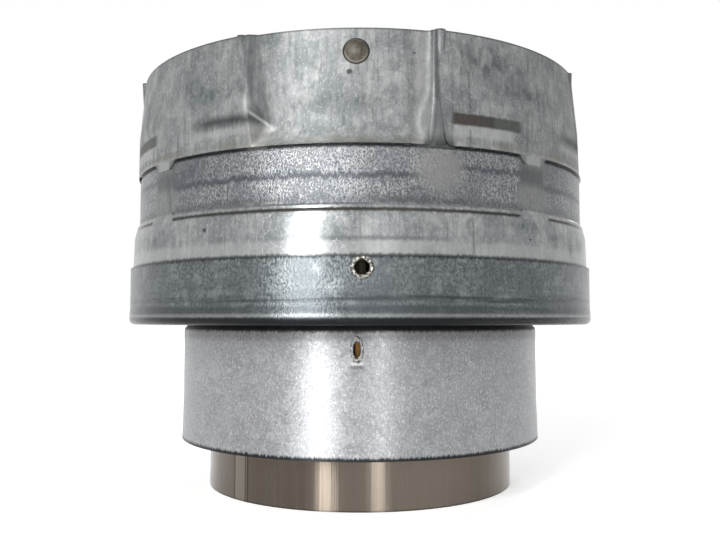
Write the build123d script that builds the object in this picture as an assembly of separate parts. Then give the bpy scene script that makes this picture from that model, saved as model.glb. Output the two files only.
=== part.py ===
from build123d import *
import os
from math import atan2, cos, degrees, dist, radians, sin, tan

# Pellet vent adapter: steps a 3 inch stove outlet up to a 4 inch twin-wall vent pipe.
# A thin stainless liner runs inside a galvanised outer wall, with an air gap between them.
# The liner's foot goes into the stove's outlet and the stove collar goes over it. The
# outer wall's upper end is stamped with the twist-lock form that the next pipe turns onto.
# Frame: the liner's foot stands at z = 0, the axis is Z and the front rivet faces -Y.
# Azimuths are degrees from -Y, turning towards +X.

# Sheet thicknesses
OUTER_SHEET = 0.5
LINER_SHEET = 0.5

# Flue liner: outside radius, and how far its foot reaches below the stove collar
LINER_RADIUS = 38.1
LINER_REACH = 11.7

# Stove collar: air gap round the liner, length up to the base cap, flare at its foot,
# and the drawn-in neck that passes the cap and is flanged over inside it
STOVE_GAP = 6.2
COLLAR_LENGTH = 27.75
COLLAR_FLARE = 0.25
FLARE_LENGTH = 9.0
NECK_DRAW = 0.9
NECK_DRAW_HEIGHT = 1.1
NECK_ROUND = 0.7
FLANGE_WIDTH = 3.0
FLANGE_ROUND = 0.2

# Base cap: outside radius at its foot, height, draw at its top and above its foot bead
CAP_RADIUS = 58.0
CAP_HEIGHT = 13.3
CAP_TOP_DRAW = 0.1
CAP_CORNER = 1.3
CAP_HOLE_CLEARANCE = 0.15
CAP_BEAD_RISE = 1.9
CAP_BEAD_DRAW = 0.12
CAP_BEAD_ROUND = 2.0

# Outer wall: fit in the cap, plain band, gripped band, locking height and lead-in taper
WALL_FIT = 0.1
PLAIN_BAND_HEIGHT = 9.45
PLAIN_BAND_DRAW = 0.2
SHOULDER_HEIGHT = 2.2
SHOULDER_ROUND = 5.0
GRIP_BAND_HEIGHT = 12.6
GRIP_DEPTH = 0.4
GRIP_NIP_DEPTH = 0.35
GRIP_NIP_HEIGHT = 0.9
RIDGE_HEIGHT = 1.0
RIDGE_GROOVE_DEPTH = 0.3
RIDGE_GROOVE_HEIGHT = 0.7
LOCK_HEIGHT = 9.2
LEAD_IN_HEIGHT = 14.4
LEAD_IN_DRAW = 1.3
LEAD_IN_ROUND = 12.0

# Twist-lock form: how many round the wall, and how far it is turned from -Y.
# The azimuths below it are taken from the middle of an entry recess.
LOCKS = 4
LOCK_TURN = -4.0
# Entry recess: depths below the wall at the rim and, further down, at its crown
RECESS_RIM_DEPTH = 2.4
RECESS_CROWN_DEPTH = 1.6
RECESS_CROWN_DROP = 9.9
RECESS_CROWN_ROUND = 6.0
# Round scoop along the lock's foot: section radius, depth, and height above the gripped
# band. It crosses each recess and runs out on the left of it, into the locking groove.
SCOOP_ROUND = 7.4
SCOOP_DEPTH = 2.6
SCOOP_RISE = 5.7
SCOOP_TURN = -17.0
SCOOP_RUN = 35.0
# Entry recess: azimuths of its side walls at the floor and at the wall's face
RECESS_RIM_LEFT = -18.6
RECESS_RIM_LEFT_TOP = -22.7
RECESS_RIM_RIGHT = 19.1
RECESS_RIM_RIGHT_TOP = 20.6
RECESS_FOOT_LEFT = -16.1
RECESS_FOOT_LEFT_TOP = -18.6
RECESS_FOOT_RIGHT = 16.1
RECESS_FOOT_RIGHT_TOP = 18.0
RECESS_FLOOR_ROUND = 1.5
RECESS_EDGE_ROUND = 0.7
# Ridges that the stamping raises beside the recess, highest at the rim
SIDE_RIDGE_LENGTH = 14.0
SIDE_RIDGE_SINK = 0.3
RIGHT_RIDGE_RADIUS = 1.2
RIGHT_RIDGE_TURN = 21.0
LEFT_RIDGE_RADIUS = 0.9
LEFT_RIDGE_TURN = -22.3
# Locking groove's crisp closed length: depth, its heights above the gripped band, and the
# azimuths of its closed end and of the end that fades into the scoop
GROOVE_DEPTH = 2.3
GROOVE_LIP_RISE = 1.6
GROOVE_FLOOR_RISE = 4.6
GROOVE_FLOOR_HEIGHT = 0.5
GROOVE_TOP_RISE = 6.8
GROOVE_EASE = 0.35
GROOVE_ROUND = 0.3
GROOVE_CLOSED_TOP = 22.8
GROOVE_CLOSED_FLOOR = 24.6
GROOVE_FADE_FLOOR = 38.4
GROOVE_FADE_TOP = 42.4
# Gap between the forming jaws: the sheet bridges it, so the pressed forms stop there
JAW_TURN = 44.5
JAW_HALF = 4.65
JAW_TAB_HALF = 2.35
JAW_TAB_HEIGHT = 1.9
JAW_FOOT_HALF = 3.6
JAW_FOOT_HEIGHT = 1.3
JAW_TAB_ROUND = 0.8
# Notch that rises between the recess's right side and the groove's closed end
NOTCH_TURN = 20.1
NOTCH_HALF = 1.7
NOTCH_HEIGHT = 10.5
NOTCH_DEPTH = 0.9
NOTCH_FLARE = 3.6
NOTCH_CORNER = 1.6

# Screw holes: pilot holes through the cap and wall, lanced slots in the stove collar
SCREWS = 3
PILOT_TURN = 0.4
PILOT_DROP = 2.25
PILOT_RADIUS = 1.65
PILOT_BURR = 0.7
PILOT_BURR_HEIGHT = 0.35
PILOT_BURR_TAPER = 30.0
LANCE_TURN = -0.8
LANCE_DROP = 5.1
LANCE_WIDTH = 1.6
LANCE_HEIGHT = 3.9
LANCE_RIM = 0.5
LANCE_RIM_HEIGHT = 0.4
LANCE_RIM_TAPER = 20.0

# Upper liner: bore of the 4 inch socket, air gap round it, its length and drop below the
# rim, the cone that steps it down, and the spigot below that, inside the flue liner's top
SOCKET_BORE = 50.8
AIR_GAP = 4.5
SOCKET_DROP = 3.0
SOCKET_LENGTH = 22.0
CONE_HEIGHT = 9.0
CONE_ROUND = 3.0
SPIGOT_LENGTH = 9.0
SPIGOT_FIT = 0.05
SPIGOT_SHOULDER = 2.0

# Rivets and the standoff clips that they hold between the wall and the upper liner
RIVET_TURN = 3.2
RIVET_DROP = 4.9
RIVET_HEAD_RADIUS = 2.7
RIVET_HEAD_HEIGHT = 1.2
RIVET_SHANK_RADIUS = 1.6
RIVET_TAIL_RADIUS = 2.2
RIVET_TAIL_HEIGHT = 0.6
SEAT_CLEARANCE = 0.02
HOLE_CLEARANCE = 0.05
CLIP_SHEET = 0.4
CLIP_ARC = 9.6
CLIP_MARGIN = 3.0
CLIP_JOG = 2.5
CLIP_FOOT = 4.6
CLIP_ROUND = 0.6

# How far cutting forms pass the surface that they cut, and how near to its expected
# place an edge is looked for
CUT_OVER = 2.0
EDGE_MARGIN = 1.0

# Heights that follow from the sizes above
collar_foot = LINER_REACH
cap_foot = collar_foot + COLLAR_LENGTH
cap_top = cap_foot + CAP_HEIGHT
grip_foot = cap_top + PLAIN_BAND_HEIGHT
grip_top = grip_foot + GRIP_BAND_HEIGHT
taper_foot = grip_top + LOCK_HEIGHT
rim = taper_foot + LEAD_IN_HEIGHT
socket_top = rim - SOCKET_DROP
socket_foot = socket_top - SOCKET_LENGTH
cone_foot = socket_foot - CONE_HEIGHT
liner_top = cone_foot - SPIGOT_SHOULDER
rivet_height = rim - RIVET_DROP
wall_foot = cap_foot + CAP_CORNER + SEAT_CLEARANCE

# Radii that follow from the sizes above
collar_radius = LINER_RADIUS + STOVE_GAP + OUTER_SHEET
neck_radius = collar_radius - NECK_DRAW
spigot_radius = LINER_RADIUS - LINER_SHEET - SPIGOT_FIT
socket_radius = SOCKET_BORE + LINER_SHEET
wall_radius = socket_radius + AIR_GAP + OUTER_SHEET
plain_radius = CAP_RADIUS - max(CAP_TOP_DRAW, CAP_BEAD_DRAW) - OUTER_SHEET - WALL_FIT
grip_radius = wall_radius - GRIP_DEPTH


def plan_point(radius, azimuth):
    """Point on a circle about the axis, at an azimuth."""
    turn = radians(azimuth)
    return (radius * sin(turn), -radius * cos(turn))


def past(start, end):
    """Point on the line from start through end, past the end by the cutting allowance."""
    share = 1 + CUT_OVER / dist(start, end)
    return tuple(a + (b - a) * share for a, b in zip(start, end))


def turned(outline):
    """Full turn about the axis of a closed outline drawn in radius and height."""
    return revolve(Plane.XZ * make_face(outline), Axis.Z)


def sheet_section(line, sheet):
    """Section of a sheet whose outer face is a line drawn from the foot upwards."""
    return make_face(offset(line, sheet, side=Side.LEFT, kind=Kind.INTERSECTION))


def facing(azimuth, radius, height, tilt=0.0):
    """Plane on a circle about the axis that looks outwards, tilted up, with its Y upwards."""
    x, y = plan_point(radius, azimuth)
    rise = radius * tan(radians(tilt))
    return Plane(origin=(x, y, height), x_dir=(-y, x, 0), z_dir=(x, y, rise))


def spaced(shape, count):
    """Copies of a shape, spaced evenly round the axis."""
    return [Rot(0, 0, 360 / count * k) * shape for k in range(count)]


def sector_plan(height, floor_radius, face_radius, left, left_top, right, right_top):
    """Plan of a wedge whose slanted sides pass an azimuth at each of two radii."""
    left_floor = plan_point(floor_radius, left)
    left_face = plan_point(face_radius, left_top)
    right_floor = plan_point(floor_radius, right)
    right_face = plan_point(face_radius, right_top)
    outline = Polyline(
        past(left_face, left_floor),
        past(left_floor, left_face),
        plan_point(2 * face_radius, (left + right) / 2),
        past(right_floor, right_face),
        past(right_face, right_floor),
        close=True,
    )
    return Plane(origin=(0, 0, height)) * make_face(outline)


def recess_radius(height):
    """Radius of an entry recess's floor between the rim and its crown."""
    slope = (RECESS_RIM_DEPTH - RECESS_CROWN_DEPTH) / RECESS_CROWN_DROP
    return wall_radius - RECESS_RIM_DEPTH + slope * (rim - height)


def wall_blank(inset):
    """The outer wall before stamping, filled to the axis, its face set in by inset."""
    outline = FilletPolyline(
        (0, wall_foot),
        (plain_radius - inset, wall_foot),
        (plain_radius - inset, cap_top),
        (plain_radius - PLAIN_BAND_DRAW - inset, grip_foot - SHOULDER_HEIGHT),
        (wall_radius - inset, grip_foot + RIDGE_HEIGHT),
        (wall_radius - inset, taper_foot),
        (wall_radius - LEAD_IN_DRAW - inset, rim),
        (0, rim),
        radius=[0, 0, 0, SHOULDER_ROUND, 0, LEAD_IN_ROUND, 0, 0],
        close=True,
    )
    return turned(outline)


def ring_scoop(inset, shift=0.0):
    """Ring that presses the scoop in. Shifted, it is deepest at one azimuth only."""
    x, y = plan_point(shift, SCOOP_TURN)
    ring = wall_radius - SCOOP_DEPTH + SCOOP_ROUND + shift
    return Pos(-x, -y, grip_top + SCOOP_RISE) * Torus(ring, SCOOP_ROUND + inset)


def scoop_run(inset):
    """Scoop beside one recess: its full depth at the recess, none where its run ends."""
    floor = wall_radius - SCOOP_DEPTH
    fall = floor - wall_radius * cos(radians(SCOOP_RUN))
    return ring_scoop(inset, (wall_radius**2 - floor**2) / (2 * fall))


def recess_floor(inset):
    """Everything inside an entry recess's floor: taper, rounded crown, scoop and lip."""
    top = rim + 2 * CUT_OVER
    scoop_height = grip_top + SCOOP_RISE
    out = wall_radius + CUT_OVER
    outline = Polyline(
        (0, grip_foot),
        (out, grip_foot),
        (out, scoop_height),
        (recess_radius(scoop_height) - inset, scoop_height),
        (recess_radius(top) - inset, top),
        (0, top),
        close=True,
    )
    floor = turned(outline) - ring_scoop(inset)
    crown = floor.edges().filter_by(GeomType.CIRCLE).filter_by(
        lambda e: scoop_height < (e @ 0).Z < scoop_height + SCOOP_ROUND
    )
    return fillet(crown, RECESS_CROWN_ROUND)


def recess_cutter(inset):
    """What the stamping presses in at one entry recess, with its floor edges rounded."""
    foot = sector_plan(
        grip_top,
        wall_radius - SCOOP_DEPTH - inset,
        wall_radius - inset,
        RECESS_FOOT_LEFT,
        RECESS_FOOT_LEFT_TOP,
        RECESS_FOOT_RIGHT,
        RECESS_FOOT_RIGHT_TOP,
    )
    top = sector_plan(
        rim + CUT_OVER,
        wall_radius - RECESS_RIM_DEPTH - inset,
        wall_radius - inset,
        RECESS_RIM_LEFT,
        RECESS_RIM_LEFT_TOP,
        RECESS_RIM_RIGHT,
        RECESS_RIM_RIGHT_TOP,
    )
    cutter = loft([foot, top], ruled=True) - recess_floor(inset)
    floor_edges = cutter.edges().filter_by(
        lambda e: abs((e @ 1).Z - (e @ 0).Z) > EDGE_MARGIN
        and Vector((e @ 0.5).X, (e @ 0.5).Y).length < wall_radius
    )
    return fillet(floor_edges, RECESS_FLOOR_ROUND)


def groove_cutter(inset):
    """Crisp closed length of the locking groove, with eased edges and slanted ends."""
    floor = wall_radius - GROOVE_DEPTH - inset
    face = wall_radius - inset
    low = grip_top + GROOVE_LIP_RISE
    high = grip_top + GROOVE_TOP_RISE
    floor_low = grip_top + GROOVE_FLOOR_RISE
    ease = GROOVE_EASE
    outline = FilletPolyline(
        (floor, floor_low),
        (face - ease, low + ease),
        (face + ease, low - ease * 2),
        (face + CUT_OVER, low - ease * 2),
        (face + CUT_OVER, high + ease * 2),
        (face + ease, high + ease * 2),
        (face - ease, high - ease),
        (floor, floor_low + GROOVE_FLOOR_HEIGHT),
        radius=[GROOVE_ROUND, GROOVE_ROUND, 0, 0, 0, 0, GROOVE_ROUND, GROOVE_ROUND],
        close=True,
    )
    plan = sector_plan(
        grip_top,
        floor,
        face,
        GROOVE_CLOSED_FLOOR,
        GROOVE_CLOSED_TOP,
        GROOVE_FADE_FLOOR,
        GROOVE_FADE_TOP,
    )
    return turned(outline) & extrude(plan, LOCK_HEIGHT)


def side_ridge(radius, turn, inset):
    """Ridge raised beside a recess, as a slim cone that widens up to the rim."""
    x, y = plan_point(wall_radius - LEAD_IN_DRAW - SIDE_RIDGE_SINK, turn)
    hang = (Align.CENTER, Align.CENTER, Align.MAX)
    return Pos(x, y, rim) * Cone(SIDE_RIDGE_SINK, radius - inset, SIDE_RIDGE_LENGTH, align=hang)


def recess_edges(body, inset):
    """Edges where the entry recesses' side walls meet the wall's face."""
    pitch = 360 / LOCKS

    def is_side(edge):
        middle = edge @ 0.5
        azimuth = degrees(atan2(middle.X, -middle.Y))
        off = abs((azimuth + pitch / 2) % pitch - pitch / 2)
        proud = Vector(middle.X, middle.Y).length > recess_radius(middle.Z) - inset
        upright = abs((edge @ 1).Z - (edge @ 0).Z) > EDGE_MARGIN
        nearest = RECESS_FOOT_RIGHT_TOP - EDGE_MARGIN
        beside = nearest < off < EDGE_MARGIN - RECESS_RIM_LEFT_TOP
        return proud and upright and beside and middle.Z > grip_top

    return body.edges().filter_by(is_side)


def wall_form(inset):
    """The outer wall's stamped form, filled to the axis, its face set in by inset."""
    recess = recess_cutter(inset)
    body = wall_blank(inset)
    body -= spaced(recess, LOCKS)
    body = fillet(recess_edges(body, inset), RECESS_EDGE_ROUND - inset)
    right = side_ridge(RIGHT_RIDGE_RADIUS, RIGHT_RIDGE_TURN, inset) - recess
    left = side_ridge(LEFT_RIDGE_RADIUS, LEFT_RIDGE_TURN, inset) - recess
    body += spaced(right, LOCKS) + spaced(left, LOCKS)
    pressed = [scoop_run(inset), groove_cutter(inset), notch_cutter(inset)]
    return body - [copy for cutter in pressed for copy in spaced(cutter, LOCKS)]


def notch_cutter(inset):
    """Notch beside the groove's closed end, shallower up to its tip, flared at its foot."""
    tilt = degrees(atan2(-NOTCH_DEPTH, NOTCH_HEIGHT))
    plane = facing(NOTCH_TURN, wall_radius - NOTCH_DEPTH - inset, grip_top, tilt)
    outline = FilletPolyline(
        (-NOTCH_FLARE, -NOTCH_CORNER),
        (NOTCH_FLARE, -NOTCH_CORNER),
        (NOTCH_FLARE, 0),
        (NOTCH_HALF, 0),
        (0, NOTCH_HEIGHT),
        (-NOTCH_HALF, 0),
        (-NOTCH_FLARE, 0),
        radius=[0, 0, 0, NOTCH_CORNER, 0, NOTCH_CORNER, 0],
        close=True,
    )
    return extrude(plane * make_face(outline), CUT_OVER)


def jaw_tab(base, half_base, half_end, height):
    """Smooth sheet left between two jaws, from a base height to its rounded end."""
    plane = facing(JAW_TURN, grip_radius - CUT_OVER, base)
    outline = FilletPolyline(
        (-half_base, -height),
        (half_base, -height),
        (half_base, 0),
        (half_end, height),
        (-half_end, height),
        (-half_base, 0),
        radius=[0, 0, 0, JAW_TAB_ROUND, JAW_TAB_ROUND, 0],
        close=True,
    )
    return extrude(plane * make_face(outline), 3 * CUT_OVER)


def grip_ring(inset):
    """What the jaws press in all round: the gripped band, nipped in under the lock."""
    flank = grip_foot + RIDGE_HEIGHT
    face = grip_radius - inset
    top = grip_top + inset
    outline = Polyline(
        (face + CUT_OVER, flank - CUT_OVER),
        (face, flank),
        (face, grip_top - GRIP_NIP_HEIGHT),
        (face - GRIP_NIP_DEPTH, top),
        (face + CUT_OVER, top),
        close=True,
    )
    return turned(outline)


def grip_cutters():
    """The jaws' marks on the outside: gripped band and ridge groove, less the jaw gaps."""
    slope = RIDGE_GROOVE_HEIGHT / 2 / RIDGE_GROOVE_DEPTH
    middle = grip_foot - RIDGE_GROOVE_HEIGHT / 2
    shoulder = plain_radius - PLAIN_BAND_DRAW
    share = (grip_foot + RIDGE_HEIGHT - middle) / (SHOULDER_HEIGHT + RIDGE_HEIGHT)
    face = wall_radius + share * (shoulder - wall_radius)
    groove = turned(
        Polyline(
            (face - RIDGE_GROOVE_DEPTH, middle),
            (face, middle + RIDGE_GROOVE_DEPTH * slope),
            (face + CUT_OVER, middle + RIDGE_GROOVE_DEPTH * slope),
            (face + CUT_OVER, middle - RIDGE_GROOVE_DEPTH * slope),
            (face, middle - RIDGE_GROOVE_DEPTH * slope),
            close=True,
        )
    )
    top_tab = Rot(180, 0, 0) * jaw_tab(-grip_top, JAW_HALF, JAW_TAB_HALF, JAW_TAB_HEIGHT)
    top_tab = Rot(0, 0, 2 * JAW_TURN - 180) * top_tab
    foot_tab = jaw_tab(grip_foot, JAW_HALF, JAW_FOOT_HALF, JAW_FOOT_HEIGHT)
    tabs = spaced(top_tab, LOCKS) + spaced(foot_tab, LOCKS)
    return [grip_ring(0) - tabs, groove - tabs]


def pilot_holes(height):
    """Cutters for the screw pilot holes, at a height."""
    plane = facing(PILOT_TURN, neck_radius, height)
    return spaced(extrude(plane * Circle(PILOT_RADIUS), CAP_RADIUS), SCREWS)


def rivet_planes():
    """Planes on the recess floors, square to them, where the rivets go through."""
    tilt = degrees(atan2(RECESS_RIM_DEPTH - RECESS_CROWN_DEPTH, RECESS_CROWN_DROP))
    radius = recess_radius(rivet_height)
    pitch = 360 / LOCKS
    return [facing(LOCK_TURN + RIVET_TURN + pitch * k, radius, rivet_height, tilt) for k in range(LOCKS)]


def rivet_hole(plane):
    """Cutter for a rivet's hole in the sheets under its head."""
    hole = Circle(RIVET_SHANK_RADIUS + HOLE_CLEARANCE)
    return extrude(plane * hole, CUT_OVER, both=True)


def make_outer_wall():
    """One formed sheet: plain band, gripped band and twist-lock end."""
    outside = wall_form(0) - grip_cutters()
    inside = wall_form(OUTER_SHEET) - grip_ring(OUTER_SHEET)
    wall = Rot(0, 0, LOCK_TURN) * (outside - inside)
    rivet_holes = [rivet_hole(plane) for plane in rivet_planes()]
    return wall - (pilot_holes(cap_top - PILOT_DROP) + rivet_holes)


def make_base_cap():
    """Drawn cup that closes the outer wall's foot, pierced for the screws with a burr."""
    line = FilletPolyline(
        (neck_radius + CAP_HOLE_CLEARANCE, cap_foot),
        (CAP_RADIUS, cap_foot),
        (CAP_RADIUS, cap_foot + CAP_BEAD_RISE),
        (CAP_RADIUS - CAP_BEAD_DRAW, cap_foot + 2 * CAP_BEAD_RISE),
        (CAP_RADIUS - CAP_TOP_DRAW, cap_top),
        radius=[CAP_CORNER, CAP_BEAD_ROUND, CAP_BEAD_ROUND],
    )
    cap = revolve(Plane.XZ * sheet_section(line, OUTER_SHEET), Axis.Z)
    height = cap_top - PILOT_DROP
    plane = facing(PILOT_TURN, CAP_RADIUS - CAP_TOP_DRAW - OUTER_SHEET / 2, height)
    burr = Circle(PILOT_RADIUS + PILOT_BURR)
    ring = extrude(plane * burr, OUTER_SHEET / 2 + PILOT_BURR_HEIGHT, taper=PILOT_BURR_TAPER)
    return cap + spaced(ring, SCREWS) - pilot_holes(height)


def make_stove_collar():
    """Tube that goes over the stove's outlet, lanced for screws, flanged inside the cap."""
    top = cap_foot + OUTER_SHEET + SEAT_CLEARANCE
    line = FilletPolyline(
        (collar_radius + COLLAR_FLARE, collar_foot),
        (collar_radius, collar_foot + FLARE_LENGTH),
        (collar_radius, cap_foot - NECK_DRAW_HEIGHT),
        (neck_radius, cap_foot),
        (neck_radius, top),
        (neck_radius + FLANGE_WIDTH, top),
        radius=[0, NECK_ROUND, 0, FLANGE_ROUND],
    )
    collar = revolve(Plane.XZ * sheet_section(line, OUTER_SHEET), Axis.Z)
    height = cap_foot - LANCE_DROP
    rim_plane = facing(LANCE_TURN, collar_radius - OUTER_SHEET / 2, height)
    lip = SlotOverall(LANCE_HEIGHT + 2 * LANCE_RIM, LANCE_WIDTH + 2 * LANCE_RIM, rotation=90)
    raised = extrude(rim_plane * lip, OUTER_SHEET / 2 + LANCE_RIM_HEIGHT, taper=LANCE_RIM_TAPER)
    slot_plane = facing(LANCE_TURN, LINER_RADIUS, height)
    slot = extrude(slot_plane * SlotOverall(LANCE_HEIGHT, LANCE_WIDTH, rotation=90), LINER_RADIUS)
    return collar + spaced(raised, SCREWS) - spaced(slot, SCREWS)


def make_flue_liner():
    """Stainless tube from the stove's outlet up round the reducer's spigot."""
    tube = Circle(LINER_RADIUS) - Circle(LINER_RADIUS - LINER_SHEET)
    return extrude(tube, liner_top)


def make_liner_reducer():
    """Spun stainless reducer: spigot in the flue liner's top, cone and 4 inch socket."""
    line = FilletPolyline(
        (spigot_radius, liner_top - SPIGOT_LENGTH),
        (spigot_radius, cone_foot),
        (socket_radius, socket_foot),
        (socket_radius, socket_top),
        radius=[CONE_ROUND, CONE_ROUND],
    )
    return revolve(Plane.XZ * sheet_section(line, LINER_SHEET), Axis.Z)


def make_clips():
    """Bent strips from under each rivet, inside the wall, down onto the upper liner."""
    margin = OUTER_SHEET + SEAT_CLEARANCE
    top = rivet_height + CLIP_MARGIN
    bend = rivet_height - CLIP_MARGIN
    foot_face = socket_radius + SEAT_CLEARANCE + CLIP_SHEET
    line = FilletPolyline(
        (foot_face, bend - CLIP_JOG - CLIP_FOOT),
        (foot_face, bend - CLIP_JOG),
        (recess_radius(bend) - margin, bend),
        (recess_radius(top) - margin, top),
        radius=[CLIP_ROUND, CLIP_ROUND],
    )
    strip = revolve(Plane.XZ * sheet_section(line, CLIP_SHEET), Axis.Z, revolution_arc=CLIP_ARC)
    front = Rot(0, 0, LOCK_TURN + RIVET_TURN - 90 - CLIP_ARC / 2) * strip
    return [clip - rivet_hole(plane) for clip, plane in zip(spaced(front, LOCKS), rivet_planes())]


def make_rivet(plane):
    """Domed rivet: head on the wall, shank through wall and clip, closed tail inside."""
    hollow = RIVET_TAIL_RADIUS**2 / recess_radius(rivet_height)
    grip = OUTER_SHEET + CLIP_SHEET + 3 * SEAT_CLEARANCE + hollow
    seat = SEAT_CLEARANCE
    crown = seat + RIVET_HEAD_HEIGHT
    tail = seat - grip
    dome = (RIVET_HEAD_RADIUS**2 + RIVET_HEAD_HEIGHT**2) / (2 * RIVET_HEAD_HEIGHT)
    section = make_face(
        Polyline(
            (0, crown),
            (0, tail - RIVET_TAIL_HEIGHT),
            (RIVET_TAIL_RADIUS - RIVET_TAIL_HEIGHT / 2, tail - RIVET_TAIL_HEIGHT),
            (RIVET_TAIL_RADIUS, tail - RIVET_TAIL_HEIGHT / 2),
            (RIVET_TAIL_RADIUS, tail),
            (RIVET_SHANK_RADIUS, tail),
            (RIVET_SHANK_RADIUS, seat),
            (RIVET_HEAD_RADIUS, seat),
        )
        + RadiusArc((RIVET_HEAD_RADIUS, seat), (0, crown), -dome)
    )
    return plane * revolve(Plane.XZ * section, Axis.Z)


os.makedirs("parts", exist_ok=True)
export_step(make_outer_wall(), "parts/outer_wall.step")
export_step(make_base_cap(), "parts/base_cap.step")
export_step(make_stove_collar(), "parts/stove_collar.step")
export_step(make_flue_liner(), "parts/flue_liner.step")
export_step(make_liner_reducer(), "parts/liner_reducer.step")
for place, clip, plane in zip(("front", "right", "back", "left"), make_clips(), rivet_planes()):
    export_step(clip, f"parts/clip_{place}.step")
    export_step(make_rivet(plane), f"parts/rivet_{place}.step")
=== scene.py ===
from math import cos, radians, sin

import bpy
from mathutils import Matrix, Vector, noise


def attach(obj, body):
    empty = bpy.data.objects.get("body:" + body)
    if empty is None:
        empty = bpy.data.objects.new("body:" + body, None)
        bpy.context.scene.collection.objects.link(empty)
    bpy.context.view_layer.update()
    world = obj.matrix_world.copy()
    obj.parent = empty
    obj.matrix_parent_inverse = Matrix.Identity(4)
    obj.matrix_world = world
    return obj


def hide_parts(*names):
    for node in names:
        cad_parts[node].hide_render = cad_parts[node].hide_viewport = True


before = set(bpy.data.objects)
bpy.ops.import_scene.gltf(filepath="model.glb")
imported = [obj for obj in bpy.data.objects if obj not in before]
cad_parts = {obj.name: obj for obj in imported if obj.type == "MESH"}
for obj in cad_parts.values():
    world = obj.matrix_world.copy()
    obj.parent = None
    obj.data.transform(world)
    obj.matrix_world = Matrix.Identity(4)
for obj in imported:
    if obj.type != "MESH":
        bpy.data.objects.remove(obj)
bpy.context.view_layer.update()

# Lengths are in metres. Turns are in degrees round the axis, from the front and positive to the right.

# Camera: focal length and sensor in millimetres, distance in front of the axis, height,
# upward pitch in degrees, and the nearest distance it sees
CAMERA_LENS = 39.365
CAMERA_SENSOR = 36.0
CAMERA_BACK = 0.2067
CAMERA_HEIGHT = 0.0405
CAMERA_PITCH = 3.63
CAMERA_NEAR = 0.01

# Softboxes: name, place, the point each faces, width and height, power in watts
SOFTBOXES = (
    ("key_light", (-0.5, -1.08, 0.45), (0, 0, 0.05), (0.22, 1.1), 18.5),
    ("side_light", (0.26, -1.17, 0.06), (0, 0, 0.02), (0.18, 0.1), 2.3),
    ("back_light", (0.35, 1.1, 0.7), (0, 0, 0.05), (0.6, 0.6), 6.0),
)

# White surround: the light it gives the sheet, and the floor's width, colour and glow from near to far
WORLD_LIGHT = 0.2
FLOOR_WIDTH = 8.0
FLOOR_COLOUR = (0.86, 0.86, 0.86, 1)
WHITE = (1, 1, 1, 1)
GLOW_NEAR, GLOW_FAR = 0.15, 0.9
GLOW_LOW, GLOW_HIGH = 0.55, 0.86

# Heights of the adapter's edges, holes and rivets
LINER_FOOT = 0.0
COLLAR_FOOT = 0.0117
LANCE_HEIGHT = 0.03435
CAP_FOOT = 0.03945
PILOT_HEIGHT = 0.0505
CAP_TOP = 0.05275
GRIP_FOOT = 0.0622
LINER_TOP = 0.0624
SCUFF_FOOT = GRIP_FOOT + 0.0009
GRIP_TOP = 0.0748
RIM = 0.0984
RIVET_HEIGHT = RIM - 0.0049

# Distances from the axis to the outer faces of cap, rivets, collar and flue liner, and the liner's sheet
CAP_REACH = 0.05805
RIVET_REACH = 0.0565
COLLAR_REACH = 0.04485
LINER_REACH = 0.0381
LINER_SHEET = 0.0005

# Degrees after which a form comes again round the adapter: a weld, a stamped lock, a screw place
WHOLE_TURN = 360.0
LOCK_PITCH = 90.0
SCREW_PLACES = 3
SCREW_PITCH = WHOLE_TURN / SCREW_PLACES

# Turns to the front recess, the gap between two forming jaws and its half width, holes, rivet and welds
LOCK_TURN = -4.0
JAW_TURN = LOCK_TURN + 44.5
JAW_HALF = 4.2
PILOT_TURN = 0.4
LANCE_TURN = -0.8
RIVET_TURN = -0.8
SEAM_TURN = 23.0
WELD_TURN = -45.0

# Rubbed strip of wall and cap, right of the highlight: its turn and half width
RUBBED_TURN = 10.5
RUBBED_HALF = 8.5

# Painted shade: a dark strip leaning up the fold left of each recess, placed by these numbers
# Fold left of each recess: turn from the recess, height from which it leans away, and the root of its lean
# in degrees for each metre above that
FOLD_TURN = 17.6
FOLD_FOOT = 0.0795
FOLD_LEAN = 95.0

# Painted highlight across that fold: height at its left end, turn of that end, and fall for each degree
CREASE_HEIGHT = 0.0809
CREASE_TURN = 17.8
CREASE_FALL = 0.00075

# Notch right of each recess, darkened with painted shade: turn from the recess, height of its tip, half width
# in degrees per metre below
NOTCH_TURN = 20.1
NOTCH_TIP = 0.0862
NOTCH_SPLAY = 310.0

# Torn metal: half width, half height and thickness of the rings round the holes, and size of a lanced tongue
PILOT_BURR = (0.00185, 0.0018, 0.22)
LANCE_RIM = (0.00108, 0.0022, 0.28)
TONGUE_SIZE = (0.00085, 0.0004, 0.00045)
TONGUE_DROP = 0.0021

# Raggedness of the rings: scale and height of their long waves and of their fray, and how far they stand out
WAVE_SCALE, WAVE_HEIGHT = 2.6, 0.09
FRAY_SCALE, FRAY_HEIGHT = 7.0, 0.05
RING_DEPTH, RING_DEPTH_WAVE = 0.8, 0.5

# Rivet head, from its middle: radius of the pressed ring, and where the painted highlight on its lower rim
# and the painted shade round its edge begin and end
RING_RADIUS = 0.0013
LIT_RIM = (0.0019, 0.0024)
RIM_SHADE = (0.0023, 0.0026)

# Every metal: depth of its grain, and the quarter turn that lays its drawn shine up the sheet
GRAIN_DEPTH = 0.0003
SHINE_ROTATION = 0.25

# Small dark pits in the wall: turn, height and half width in degrees, and the half height for each degree
PITS = (
    (-33.6, 0.0587, 0.5),
    (-36.5, 0.066, 0.4),
    (-26.0, 0.0665, 0.35),
    (11.5, 0.0935, 0.3),
    (38.0, 0.057, 0.3),
    (-2.2, 0.0893, 0.6),
)
PIT_RISE = 0.0009

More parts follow.
